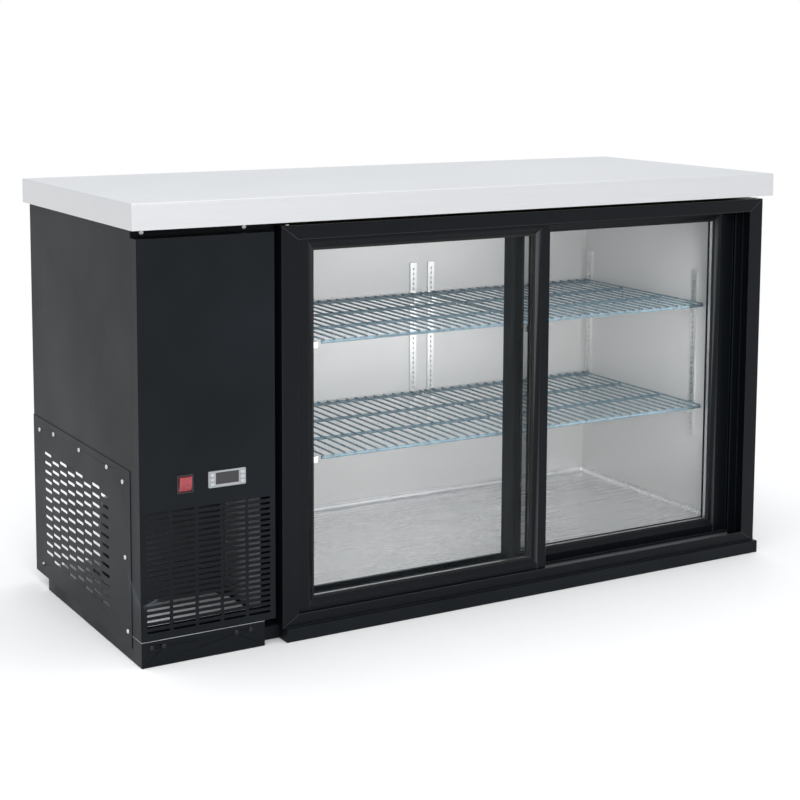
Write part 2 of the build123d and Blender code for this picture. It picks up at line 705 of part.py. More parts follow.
def rail(z_edge, inward, flat, x0, y0, stiles, rollers):
    with BuildPart() as piece:
        with BuildSketch(Plane.YZ.offset(x0)):
            outline([(y0 + d, z_edge + inward * w) for w, d in leaf_profile(flat)])
        extrude(amount=DOOR_W)
        for cut in stiles:
            add(cut, mode=Mode.SUBTRACT)
        mid_y = y0 + DOOR_T / 2
        axle_z = TRACK_Z + ROLLER_LIFT + ROLLER_R
        room = ROLLER_R + ROLLER_CLEAR
        half_w = ROLLER_W / 2 + ROLLER_CLEAR
        for x in rollers:
            block(
                x - room, x + room, mid_y - half_w, mid_y + half_w, DOOR_Z0, axle_z + room,
                mode=Mode.SUBTRACT,
            )
            half_pin = PIN_LEN / 2 + ROLLER_CLEAR
            ends = (x, mid_y - half_pin, axle_z), (x, mid_y + half_pin, axle_z)
            rod(*ends, PIN_R + PIN_FIT, Mode.SUBTRACT)
    return piece.part


def ring(x0, x1, z0, z1, width, y0, y1):
    """A flat rectangular ring, upright across the door."""
    with BuildPart() as piece:
        block(x0, x1, y0, y1, z0, z1)
        block(x0 + width, x1 - width, y0, y1, z0 + width, z1 - width, mode=Mode.SUBTRACT)
    return piece.part


def roller(x, y, name):
    axle_z = TRACK_Z + ROLLER_LIFT + ROLLER_R
    with BuildPart() as piece:
        rod((x, y - ROLLER_W / 2, axle_z), (x, y + ROLLER_W / 2, axle_z), ROLLER_R)
        chamfer(piece.edges(), TREAD_EDGE)
        rod((x, y - PIN_LEN / 2, axle_z), (x, y + PIN_LEN / 2, axle_z), PIN_R)
    save(piece.part, name)


def door(name, x0, y0, left_flat, right_flat):
    x1 = x0 + DOOR_W
    stiles = (stile(x0, 1, left_flat, y0), stile(x1, -1, right_flat, y0))
    roller_x = (x0 + ROLLER_INSET, x1 - ROLLER_INSET)
    bottom = rail(DOOR_Z0, 1, BOTTOM_FLAT, x0, y0, stiles, roller_x)
    top = rail(DOOR_Z1, -1, TOP_FLAT, x0, y0, stiles, ())
    save_group([*stiles, bottom, top], f"{name}_frame")

    bite = BITE - GLASS_GAP
    open_x0, open_x1 = x0 + left_flat + BEVEL_W, x1 - right_flat - BEVEL_W
    open_z0, open_z1 = DOOR_Z0 + BOTTOM_FLAT + BEVEL_W, DOOR_Z1 - TOP_FLAT - BEVEL_W
    gx0, gx1, gz0, gz1 = open_x0 - bite, open_x1 + bite, open_z0 - bite, open_z1 + bite
    front = y0 + UNIT_D
    back = front + UNIT_T
    panes = [
        single(gx0, gx1, front, front + PANE_T, gz0, gz1),
        single(gx0, gx1, back - PANE_T, back, gz0, gz1),
    ]
    save_group(panes, f"{name}_glass")
    s = SPACER_IN
    spacer = ring(gx0 + s, gx1 - s, gz0 + s, gz1 - s, SPACER_W, front + PANE_T, back - PANE_T)
    save(spacer, f"{name}_spacer")
    seals = [
        ring(open_x0, open_x1, open_z0, open_z1, SEAL_W, front - SEAL_T, front),
        ring(open_x0, open_x1, open_z0, open_z1, SEAL_W, back, back + SEAL_T),
    ]
    save_group(seals, f"{name}_glazing_seal")
    for side, x in zip(("left", "right"), roller_x):
        roller(x, y0 + DOOR_T / 2, f"{name}_roller_{side}")


def meeting_seal():
    """Flexible ribs on the inner door's meeting stile, closing the gap behind the outer door."""
    span = (PULL_RIBS - 1) * RIB_PITCH
    first = INNER_X0 + (MEET_FLAT - span) / 2
    ribs = []
    tip = OUTER_Y + DOOR_T + RIB_GAP
    z0, z1 = DOOR_Z0 + RIB_END, DOOR_Z1 - RIB_END
    for index in range(PULL_RIBS):
        x = first + index * RIB_PITCH
        ribs.append(single(x - RIB_W / 2, x + RIB_W / 2, tip, INNER_Y, z0, z1))
    save_group(ribs, "meeting_seal")


# ------------------------------------------------------------------ shelves
def shelf(name, x0, x1, top):
    """A coated wire shelf: thin wires front to back, welded on top of thicker rods."""
    wire_z = top - WIRE / 2
    rod_z = wire_z - WIRE / 2 - FRAME_WIRE / 2 + WELD
    r = FRAME_WIRE / 2
    y0, y1 = SHELF_F + r, SHELF_B - r
    inner_x0, inner_x1 = x0 + r, x1 - r
    count = round((inner_x1 - inner_x0) / WIRE_PITCH)
    pitch = (inner_x1 - inner_x0) / count
    with BuildPart() as piece:
        rows = CROSS_RODS + 1
        for index in range(rows + 1):
            y = y0 + index * (y1 - y0) / rows
            rod((x0, y, rod_z), (x1, y, rod_z), r)
        for index in range(count + 1):
            x = inner_x0 + index * pitch
            rod((x, SHELF_F, wire_z), (x, SHELF_B, wire_z), WIRE / 2)
    save(piece.part, name)


def slotted_strip(plane):
    """A slotted shelf standard lying on a plane, its length along the plane's local Y."""
    with BuildPart() as piece:
        with BuildSketch(plane):
            Rectangle(STRIP_W, STRIP_H)
        extrude(amount=STRIP_T)
        rows = int(STRIP_H / STRIP_PITCH) - 1
        with BuildSketch(plane):
            with GridLocations(0, STRIP_PITCH, 1, rows):
                Rectangle(STRIP_SLOT_W, STRIP_SLOT_L)
        extrude(amount=STRIP_T, mode=Mode.SUBTRACT)
    return piece.part


def shelf_supports():
    middle_z = STRIP_Z0 + STRIP_H / 2
    strips = []
    for side in (-1, 1):
        place = (MID_X + side * STRIP_SPREAD / 2, INT_B, middle_z)
        strips.append(slotted_strip(Plane(origin=place, x_dir=(1, 0, 0), z_dir=(0, -1, 0))))
    for wall_x, inward in ((INT_R, -1), (EVAP_X, 1)):
        for y in STRIP_YS:
            wall = Plane(origin=(wall_x, y, middle_z), x_dir=(0, 1, 0), z_dir=(inward, 0, 0))
            strips.append(slotted_strip(wall))
    save_group(strips, "shelf_standards")

    post_y = CAB_F + POST_BEHIND
    half_post = POST / 2
    post = single(MID_X - half_post, MID_X + half_post, post_y, post_y + POST, FLOOR_Z + TRAY_T, CEIL_Z)
    save(post, "centre_post")
    clips = [clip for top in SHELF_TOPS.values() for clip in shelf_clips(top, post_y)]
    save_group(clips, "shelf_clips")


def shelf_clips(top, post_y):
    """The clips that carry the shelves of one level."""
    z1 = top - WIRE - FRAME_WIRE + WELD - CLIP_GAP
    z0 = z1 - CLIP_H
    half = CLIP_W / 2
    rear = INT_B - STRIP_T
    clips = []
    for side in (-1, 1):
        x = MID_X + side * STRIP_SPREAD / 2
        clips.append(single(x - half, x + half, rear - CLIP_D, rear, z0, z1))
        xa, xb = sorted((MID_X + side * POST / 2, MID_X + side * (POST / 2 + CLIP_D)))
        clips.append(single(xa, xb, post_y, post_y + 2 * CLIP_W, z0, z1))
    for y in STRIP_YS:
        right, left = INT_R - STRIP_T, EVAP_X + STRIP_T
        clips.append(single(right - CLIP_D, right, y - half, y + half, z0, z1))
        clips.append(single(left, left + CLIP_D, y - half, y + half, z0, z1))
    return clips


def shelves():
    half = SHELF_SPLIT / 2
    for level, top in SHELF_TOPS.items():
        shelf(f"shelf_{level}_left", EVAP_X + SHELF_EVAP, MID_X - half, top)
        shelf(f"shelf_{level}_right", MID_X + half, INT_R - SHELF_END, top)
    shelf_supports()


# ------------------------------------------------------------------ controls
def switch():
    pivot_y = BODY_F + ROCKER_PIVOT
    half_hole_h = ROCKER_R + ROCKER_GAP
    half_hole_w = ROCKER_W / 2 + ROCKER_GAP
    pin_half = half_hole_w + ROCKER_PIN_OUT
    body_w, body_h = SWITCH_W - 2 * SWITCH_RIM, SWITCH_H - 2 * SWITCH_RIM
    with BuildPart() as housing:
        block(
            SWITCH_X - SWITCH_W / 2, SWITCH_X + SWITCH_W / 2, BODY_F - SWITCH_PROUD, BODY_F,
            SWITCH_Z - SWITCH_H / 2, SWITCH_Z + SWITCH_H / 2,
        )
        front = housing.faces().sort_by(Axis.Y)[0]
        fillet(front.edges(), SWITCH_EDGE)
        block(
            SWITCH_X - body_w / 2, SWITCH_X + body_w / 2, BODY_F, BODY_F + SWITCH_BODY_D,
            SWITCH_Z - body_h / 2, SWITCH_Z + body_h / 2,
        )
        block(
            SWITCH_X - half_hole_w, SWITCH_X + half_hole_w, BODY_F - SWITCH_PROUD,
            pivot_y + ROCKER_BACK + ROCKER_ROOM, SWITCH_Z - half_hole_h, SWITCH_Z + half_hole_h,
            mode=Mode.SUBTRACT,
        )
        rod(
            (SWITCH_X - pin_half, pivot_y, SWITCH_Z), (SWITCH_X + pin_half, pivot_y, SWITCH_Z),
            ROCKER_PIN_R + PIN_FIT, Mode.SUBTRACT,
        )
    save(housing.part, "switch_housing")

    slope = ROCKER_R * math.tan(math.radians(ROCKER_TILT))
    crown_y = pivot_y - ROCKER_PIVOT - ROCKER_PROUD
    back_y = pivot_y + ROCKER_BACK
    left = SWITCH_X - ROCKER_W / 2
    with BuildPart() as rocker:
        rod((left, pivot_y, SWITCH_Z), (left + ROCKER_W, pivot_y, SWITCH_Z), ROCKER_R)
        with BuildSketch(Plane.YZ.offset(left)):
            outline([
                (crown_y, SWITCH_Z), (crown_y + slope, SWITCH_Z + ROCKER_R),
                (back_y, SWITCH_Z + ROCKER_R), (back_y, SWITCH_Z - ROCKER_R),
                (crown_y + slope, SWITCH_Z - ROCKER_R),
            ])
        extrude(amount=ROCKER_W, mode=Mode.INTERSECT)
        end = pin_half - PIN_FIT
        rod((SWITCH_X - end, pivot_y, SWITCH_Z), (SWITCH_X + end, pivot_y, SWITCH_Z), ROCKER_PIN_R)
    pivot = Axis((SWITCH_X, pivot_y, SWITCH_Z), (1, 0, 0))
    save(rocker.part.rotate(pivot, ROCKER_TILT), "switch_rocker")


def controller():
    screen_z = CONTROL_Z + SCREEN_UP
    face_y = BODY_F - CONTROL_PROUD
    keys = [
        (CONTROL_X + side * KEY_OUT, CONTROL_Z + row * KEY_PITCH)
        for side in (-1, 1) for row in (1, 0, -1)
    ]
    with BuildPart() as body:
        block(
            CONTROL_X - CONTROL_W / 2, CONTROL_X + CONTROL_W / 2, face_y, BODY_F,
            CONTROL_Z - CONTROL_H / 2, CONTROL_Z + CONTROL_H / 2,
        )
        corners = body.edges().filter_by(Axis.Y)
        fillet(corners, BEZEL_CORNER)
        fillet(body.faces().sort_by(Axis.Y)[0].edges(), BEZEL_EDGE)
        block(
            CONTROL_X - CONTROL_BODY_W / 2, CONTROL_X + CONTROL_BODY_W / 2, BODY_F,
            BODY_F + CONTROL_BODY_D, CONTROL_Z - CONTROL_BODY_H / 2, CONTROL_Z + CONTROL_BODY_H / 2,
        )
        block(
            CONTROL_X - SCREEN_W / 2, CONTROL_X + SCREEN_W / 2, face_y, face_y + SCREEN_DEEP + SCREEN_T,
            screen_z - SCREEN_H / 2, screen_z + SCREEN_H / 2, mode=Mode.SUBTRACT,
        )
        half_w, half_h = KEY_W / 2 + KEY_GAP, KEY_H / 2 + KEY_GAP
        for x, z in keys:
            pocket = (x - half_w, x + half_w, face_y, face_y + KEY_POCKET, z - half_h, z + half_h)
            block(*pocket, mode=Mode.SUBTRACT)
    save(body.part, "controller_body")
    save(
        single(
            CONTROL_X - SCREEN_W / 2, CONTROL_X + SCREEN_W / 2, face_y + SCREEN_DEEP,
            face_y + SCREEN_DEEP + SCREEN_T, screen_z - SCREEN_H / 2, screen_z + SCREEN_H / 2,
        ),
        "controller_screen",
    )
    for index, (x, z) in enumerate(keys, start=1):
        with BuildPart() as key:
            block(
                x - KEY_W / 2, x + KEY_W / 2, face_y - KEY_PROUD, face_y + KEY_DEPTH,
                z - KEY_H / 2, z + KEY_H / 2,
            )
            fillet(key.edges().filter_by(Axis.Y), KEY_CORNER)
            fillet(key.faces().sort_by(Axis.Y)[0].edges(), KEY_EDGE)
        save(key.part, f"controller_key_{index}")


# ------------------------------------------------------------------ refrigeration
def fin_block(x0, x1, y0, y1, z0, z1, along_x):
    """A finned coil block, with grooves between groups of fins on both broad faces."""
    with BuildPart() as piece:
        block(x0, x1, y0, y1, z0, z1)
        pitch = (z1 - z0) / FINS
        for index in range(FINS):
            z = z0 + (index + 0.5) * pitch
            if along_x:
                for ya, yb in ((y0, y0 + FIN_DEPTH), (y1 - FIN_DEPTH, y1)):
                    block(x0, x1, ya, yb, z - pitch / 4, z + pitch / 4, mode=Mode.SUBTRACT)
            else:
                block(x1 - FIN_DEPTH, x1, y0, y1, z - pitch / 4, z + pitch / 4, mode=Mode.SUBTRACT)
    return piece.part


def fan_blade(plane, scale, name):
    """A hub with pitched blades and a shaft stub; the shaft points along the plane's normal."""
    hub_r, tip_r = HUB_R * scale, BLADE_R * scale
    blade_len = tip_r - hub_r + BLADE_ROOT
    with BuildPart(plane) as piece:
        Cylinder(hub_r, HUB_L, align=(Align.CENTER, Align.CENTER, Align.CENTER))
        with PolarLocations((tip_r + hub_r - BLADE_ROOT) / 2, BLADE_COUNT):
            Box(blade_len, BLADE_CHORD * scale, BLADE_T, rotation=(BLADE_TILT, 0, 0))
        with Locations((0, 0, HUB_L / 2)):
            Cylinder(SHAFT_R, SHAFT_L, align=(Align.CENTER, Align.CENTER, Align.MIN))
    save(piece.part, name)


def fan_motor(plane, name, pedestal):
    """A round motor with a blind bore for the fan's shaft, and its bracket."""
    with BuildPart() as piece:
        with BuildSketch(plane):
            Circle(MOTOR_R)
        extrude(amount=MOTOR_L)
        fillet(piece.edges().filter_by(GeomType.CIRCLE), MOTOR_EDGE)
        with BuildSketch(plane):
            Circle(SHAFT_R + SHAFT_FIT)
        extrude(amount=SHAFT_L, mode=Mode.SUBTRACT)
        block(*pedestal)
    save(piece.part, name)


def compressor(foot_z):
    """A hermetic compressor on a plate with four feet, with its terminal box."""
    plate_z = foot_z - COMP_PLATE_T
    half_w, half_d = COMP_PLATE_W / 2, COMP_PLATE_D / 2
    with BuildPart() as piece:
        block(COMP_X - half_w, COMP_X + half_w, COMP_Y - half_d, COMP_Y + half_d, plate_z, foot_z)
        for dx in (-COMP_FOOT_X, COMP_FOOT_X):
            for dy in (-COMP_FOOT_Y, COMP_FOOT_Y):
                x, y = COMP_X + dx, COMP_Y + dy
                rod((x, y, PLINTH_H), (x, y, plate_z), COMP_FOOT_R)
        rod((COMP_X, COMP_Y, foot_z), (COMP_X, COMP_Y, foot_z + COMP_H), COMP_R)
        rim = piece.edges().filter_by(GeomType.CIRCLE).sort_by(Axis.Z)[-1]
        fillet(rim, COMP_DOME)
        mid = foot_z + COMP_H / 2
        seam_z0, seam_z1 = mid - COMP_SEAM_H / 2, mid + COMP_SEAM_H / 2
        rod((COMP_X, COMP_Y, seam_z0), (COMP_X, COMP_Y, seam_z1), COMP_R + COMP_SEAM_OUT)
        box_x = COMP_X + COMP_R - COMP_BOX_SINK
        box_z = mid + COMP_BOX_RISE
        half_box = COMP_BOX_D / 2
        block(
            box_x, box_x + COMP_BOX_W, COMP_Y - half_box, COMP_Y + half_box,
            box_z, box_z + COMP_BOX_H,
        )
    save(piece.part, "compressor")


def condensing_unit():
    x0, x1 = COND_X - COND_W / 2, COND_X + COND_W / 2
    z0, z1 = COND_Z0, COND_Z0 + COND_H
    y0, y1 = COND_Y0, SHROUD_Y
    inset, half_foot = COND_FOOT_INSET, COND_FOOT_W / 2
    with BuildPart() as condenser:
        add(fin_block(x0, x1, y0, y1, z0, z1, True))
        for x in (x0 + inset, x1 - inset):
            block(x - half_foot, x + half_foot, y0 + inset, y1 - inset, PLINTH_H, z0)
    save(condenser.part, "condenser")

    fan_y = SHROUD_Y + SHROUD_T
    rim_y = fan_y + SHROUD_RIM
    with BuildPart() as shroud:
        block(x0, x1, SHROUD_Y, fan_y, z0, z1)
        rod((COND_X, fan_y, FAN_CZ), (COND_X, rim_y, FAN_CZ), SHROUD_R + SHROUD_T)
        rod((COND_X, SHROUD_Y, FAN_CZ), (COND_X, rim_y, FAN_CZ), SHROUD_R, Mode.SUBTRACT)
    save(shroud.part, "fan_shroud")

    swing = BLADE_CHORD / 2 * math.sin(math.radians(BLADE_TILT)) + BLADE_T
    hub_y = fan_y + BLADE_GAP + max(swing, HUB_L / 2)
    axis_in = Plane(origin=(COND_X, hub_y, FAN_CZ), x_dir=(1, 0, 0), z_dir=(0, 1, 0))
    fan_blade(axis_in, 1.0, "condenser_fan_blade")
    motor_y = hub_y + HUB_L / 2 + MOTOR_GAP
    motor_plane = Plane(origin=(COND_X, motor_y, FAN_CZ), x_dir=(1, 0, 0), z_dir=(0, 1, 0))
    half_leg, leg_y = PEDESTAL_W / 2, motor_y + PEDESTAL_BACK
    leg_top = FAN_CZ - MOTOR_R + MOTOR_EDGE
    leg = (COND_X - half_leg, COND_X + half_leg, leg_y, leg_y + PEDESTAL_D, PLINTH_H, leg_top)
    fan_motor(motor_plane, "condenser_fan_motor", leg)

    foot_z = PLINTH_H + COMP_LIFT
    compressor(foot_z)
    pipework(x1, foot_z + COMP_H, motor_y)


def tube(points, radius):
    """A round pipe along straight runs joined by bends."""
    with BuildPart() as piece:
        with BuildLine():
            path = FilletPolyline(*points, radius=PIPE_BEND)
        with BuildSketch(Plane(origin=path @ 0, z_dir=path % 0)):
            Circle(radius)
        sweep(path=path)
    return piece.part


def pipework(cond_x1, comp_top, motor_y):
    """Discharge line, liquid line with its filter drier, and suction line to the partition."""
    cond_top = COND_Z0 + COND_H
    cond_y = COND_Y0 + COND_T / 2
    low_z = max(comp_top, cond_top) + PIPE_RISE - PIPE_STEP
    mid_z = low_z + 2 * PIPE_STEP
    high_z = mid_z + 2 * PIPE_STEP
    side_x = cond_x1 - PIPE_SIDE
    out_x, in_x = COMP_X - STUB, COMP_X + STUB
    discharge = tube(
        [
            (out_x, COMP_Y, comp_top), (out_x, COMP_Y, mid_z), (side_x, COMP_Y, mid_z),
            (side_x, cond_y, mid_z), (side_x, cond_y, cond_top),
        ],
        PIPE_R,
    )
    liquid_x = COND_X - LIQUID_IN
    drier_y0 = motor_y + DRIER_START
    drier_y1 = drier_y0 + DRIER_L
    cross_y = INT_B - PIPE_BACK
    liquid = tube(
        [(liquid_x, cond_y, cond_top), (liquid_x, cond_y, low_z), (liquid_x, drier_y0, low_z)],
        PIPE_R,
    )
    with BuildPart() as drier:
        rod((liquid_x, drier_y0, low_z), (liquid_x, drier_y1, low_z), DRIER_R)
        fillet(drier.edges().filter_by(GeomType.CIRCLE), PIPE_R)
    outlet = tube(
        [(liquid_x, drier_y1, low_z), (liquid_x, cross_y, low_z), (SUR_L, cross_y, low_z)],
        PIPE_R,
    )
    suction = tube(
        [
            (in_x, COMP_Y, comp_top), (in_x, COMP_Y, high_z), (in_x, cross_y, high_z),
            (SUR_L, cross_y, high_z),
        ],
        PIPE_R,
    )
    save_group([discharge, liquid, drier.part, outlet, suction], "pipework")


def evaporator():
    z0, z1 = EVAP_Z0, CEIL_Z - EVAP_TOP_GAP
    skin_x = EVAP_X - EVAP_SHEET
    t = EVAP_SHEET
    mid_y = (EVAP_Y0 + EVAP_Y1) / 2
    with BuildPart() as cover:
        block(INT_L, EVAP_X, EVAP_Y0, EVAP_Y1, z0, z1)
        block(INT_L, skin_x, EVAP_Y0 + t, EVAP_Y1 - t, z0 + t, z1 - t, mode=Mode.SUBTRACT)
        rod((skin_x, mid_y, FAN_Z), (EVAP_X, mid_y, FAN_Z), FAN_HOLE_R, Mode.SUBTRACT)
        with BuildSketch(Plane.YZ.offset(skin_x)):
            with Locations((mid_y, z0 + EVAP_SLOT_RISE)):
                with GridLocations(BRICK_PITCH_Y, SLOT_PITCH_Z, EVAP_SLOT_COLS, EVAP_SLOT_ROWS):
                    SlotOverall(BRICK_L, SLOT_H)
        extrude(amount=t, mode=Mode.SUBTRACT)
    save(cover.part, "evaporator_cover")
    coil_x = INT_L + EVAP_COIL_D
    coil = fin_block(
        INT_L, coil_x, EVAP_Y0 + EVAP_COIL_INSET, EVAP_Y1 - EVAP_COIL_INSET,
        z0 + EVAP_COIL_DROP, FAN_Z - FAN_HOLE_R - EVAP_COIL_DROP, False,
    )
    save(coil, "evaporator_coil")
    hub_x = skin_x - BLADE_GAP - HUB_L / 2
    hub = Plane(origin=(hub_x, mid_y, FAN_Z), x_dir=(0, 1, 0), z_dir=(-1, 0, 0))
    fan_blade(hub, EVAP_FAN_SCALE, "evaporator_fan_blade")
    motor_x = hub_x - HUB_L / 2 - EVAP_MOTOR_GAP
    bore_end = (motor_x - SHAFT_L, mid_y, FAN_Z)
    with BuildPart() as motor:
        rod((motor_x, mid_y, FAN_Z), (INT_L, mid_y, FAN_Z), MOTOR_R * EVAP_FAN_SCALE)
        rod((motor_x, mid_y, FAN_Z), bore_end, SHAFT_R + SHAFT_FIT, Mode.SUBTRACT)
    save(motor.part, "evaporator_fan_motor")


# ------------------------------------------------------------------ build
os.makedirs("parts", exist_ok=True)
worktop()
base()
cabinet()
side_casing()
front_casing()
rear_casing()
fasteners()
surround()
door("outer_door", OUTER_X0, OUTER_Y, CLOSE_FLAT, MEET_FLAT)
door("inner_door", INNER_X0, INNER_Y, MEET_FLAT, CLOSE_FLAT)
meeting_seal()
shelves()
switch()
controller()
condensing_unit()
evaporator()
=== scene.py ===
import json
import math

import bpy
from mathutils import Matrix, Vector


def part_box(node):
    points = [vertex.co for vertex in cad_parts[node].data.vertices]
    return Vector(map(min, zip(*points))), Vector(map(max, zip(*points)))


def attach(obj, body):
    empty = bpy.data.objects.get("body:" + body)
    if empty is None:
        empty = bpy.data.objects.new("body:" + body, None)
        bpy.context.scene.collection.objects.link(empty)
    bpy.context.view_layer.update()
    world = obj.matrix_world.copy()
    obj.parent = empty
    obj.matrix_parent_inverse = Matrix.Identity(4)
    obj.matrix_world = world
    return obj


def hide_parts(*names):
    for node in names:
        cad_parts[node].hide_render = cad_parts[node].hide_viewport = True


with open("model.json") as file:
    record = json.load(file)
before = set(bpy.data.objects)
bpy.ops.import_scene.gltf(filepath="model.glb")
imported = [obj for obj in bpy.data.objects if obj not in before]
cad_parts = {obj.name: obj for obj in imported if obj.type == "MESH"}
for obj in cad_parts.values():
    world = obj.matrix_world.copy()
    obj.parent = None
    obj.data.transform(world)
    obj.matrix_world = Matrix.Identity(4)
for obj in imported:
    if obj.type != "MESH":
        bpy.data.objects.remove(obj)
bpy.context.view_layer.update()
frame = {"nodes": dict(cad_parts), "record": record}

# ------------------------------------------------------------------ camera, lights and stage
CAMERA_PLACE = Vector((-1.8866, -3.1814, 1.1758))
CAMERA_YAW = math.radians(30.345)
CAMERA_PITCH = math.radians(6.744)
CAMERA_ROLL = math.radians(0.27)
CAMERA_LENS = 76.186
CAMERA_SHIFT_Y = -0.20
ROOM_GREY = (0.93, 0.95, 0.98)
ROOM_STRENGTH = 0.86
FLOOR_GREY = (0.93, 0.93, 0.93)
FLOOR_SHADE = tuple(0.985 * c for c in FLOOR_GREY)
FLOOR_RADIUS = 40.0
FLOOR_DROP = 0.0005         # the floor lies this far under the object, so that the faces don't meet
FLOOR_FADE = (1.6, 3.0)     # from the object's middle: where the floor starts to turn white, and is white
CLEAR_OF_DOORS = 0.004      # the inside light stands this far behind the liner's front edge


def make_camera():
    """A camera at the photograph's angle, looking at the front and left side."""
    yaw, pitch = CAMERA_YAW, CAMERA_PITCH
    forward = Vector((math.sin(yaw) * math.cos(pitch), math.cos(yaw) * math.cos(pitch), -math.sin(pitch)))
    level = Vector((math.cos(yaw), -math.sin(yaw), 0))
    above = level.cross(forward)
    right = math.cos(CAMERA_ROLL) * level + math.sin(CAMERA_ROLL) * above
    up = math.cos(CAMERA_ROLL) * above - math.sin(CAMERA_ROLL) * level
    data = bpy.data.cameras.new("camera")
    data.lens = CAMERA_LENS
    data.sensor_width = 36.0
    data.shift_y = CAMERA_SHIFT_Y
    camera = bpy.data.objects.new("camera", data)
    bpy.context.scene.collection.objects.link(camera)
    turn = Matrix((right, up, -forward)).transposed()
    camera.matrix_world = Matrix.Translation(CAMERA_PLACE) @ turn.to_4x4()
    bpy.context.scene.camera = camera


def area_light(name, place, target, size, power, tint=(1, 1, 1)):
    """A rectangular light at a place, turned towards a target."""
    data = bpy.data.lights.new(name, "AREA")
    data.shape = "RECTANGLE"
    data.size, data.size_y = size
    data.energy = power
    data.color = tint
    light = bpy.data.objects.new(name, data)
    bpy.context.scene.collection.objects.link(light)
    light.location = place
    light.rotation_mode = "QUATERNION"
    light.rotation_quaternion = (Vector(target) - Vector(place)).to_track_quat("-Z", "Y")
    return light


def white_room():
    """A world that the camera sees as plain white, and that lights the object a little less."""
    world = bpy.data.worlds.new("studio")
    bpy.context.scene.world = world
    world.use_nodes = True
    tree = world.node_tree
    room = tree.nodes["Background"]
    room.inputs["Color"].default_value = (*ROOM_GREY, 1)
    room.inputs["Strength"].default_value = ROOM_STRENGTH
    seen = tree.nodes.new("ShaderNodeBackground")
    seen.inputs["Color"].default_value = (1, 1, 1, 1)
    mix = tree.nodes.new("ShaderNodeMixShader")
    rays = tree.nodes.new("ShaderNodeLightPath")
    tree.links.new(rays.outputs["Is Camera Ray"], mix.inputs["Fac"])
    tree.links.new(room.outputs["Background"], mix.inputs[1])
    tree.links.new(seen.outputs["Background"], mix.inputs[2])
    tree.links.new(mix.outputs["Shader"], tree.nodes["World Output"].inputs["Surface"])


def light_inside():
    """A soft light just behind the doors that lights the back of the cold space."""
    low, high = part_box("liner")
    middle = (low + high) / 2
    place = (middle.x, low.y + CLEAR_OF_DOORS, middle.z + 0.05)
    target = (middle.x, high.y, middle.z - 0.02)
    light = area_light("inside", place, target, (0.98, 0.52), 2.7, (0.98, 0.985, 1.0))
    light.visible_camera = False


def light_behind_cover():
    """A small light on the plinth's bare top plate, seen through the low slots of the front cover."""
    low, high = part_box("front_cover")
    place = (low.x + 0.02, high.y + 0.01, 0.16)
    target = (low.x + 0.06, high.y + 0.10, 0.05)
    light = area_light("behind_cover", place, target, (0.06, 0.12), 0.16)
    light.visible_camera = False


def floor_disc(sides=64):
    mesh = bpy.data.meshes.new("floor")
    turns = [math.tau * k / sides for k in range(sides)]
    ring = [(FLOOR_RADIUS * math.cos(turn), FLOOR_RADIUS * math.sin(turn), 0) for turn in turns]
    mesh.from_pydata(ring, [], [list(range(sides))])
    floor = bpy.data.objects.new("floor", mesh)
    floor.location.z = -FLOOR_DROP
    bpy.context.scene.collection.objects.link(floor)
    mesh.materials.append(plain_floor())


def make_studio():
    """A soft key from the front left, a weak side light, a large light overhead and two inside."""
    white_room()
    area_light("key", (-1.2, -3.6, 2.6), (0.1, 0.0, 0.6), (2.6, 1.6), 80, (1.0, 0.99, 0.98))
    area_light("side", (-4.2, -0.6, 1.6), (-0.7, 0.0, 0.4), (2.0, 2.0), 3, (0.88, 0.94, 1.0))
    area_light("sky", (0.0, 0.6, 5.0), (0.0, 0.0, 0.0), (7.0, 7.0), 122)
    light_inside()
    light_behind_cover()
    floor_disc()
    bpy.context.scene.view_settings.view_transform = "Standard"


# ------------------------------------------------------------------ material helpers
EDGE_HIGHLIGHT = (0.085, 0.090, 0.095)      # painted highlight: lighter colour on the sharp edges of the black extrusions
BLACK_PAINT = (0.0052, 0.0068, 0.0090)
WIDE_BAND = (0.3, 0.7)                  # a noise keeps mostly within this band
NARROW_BAND = (0.35, 0.65)


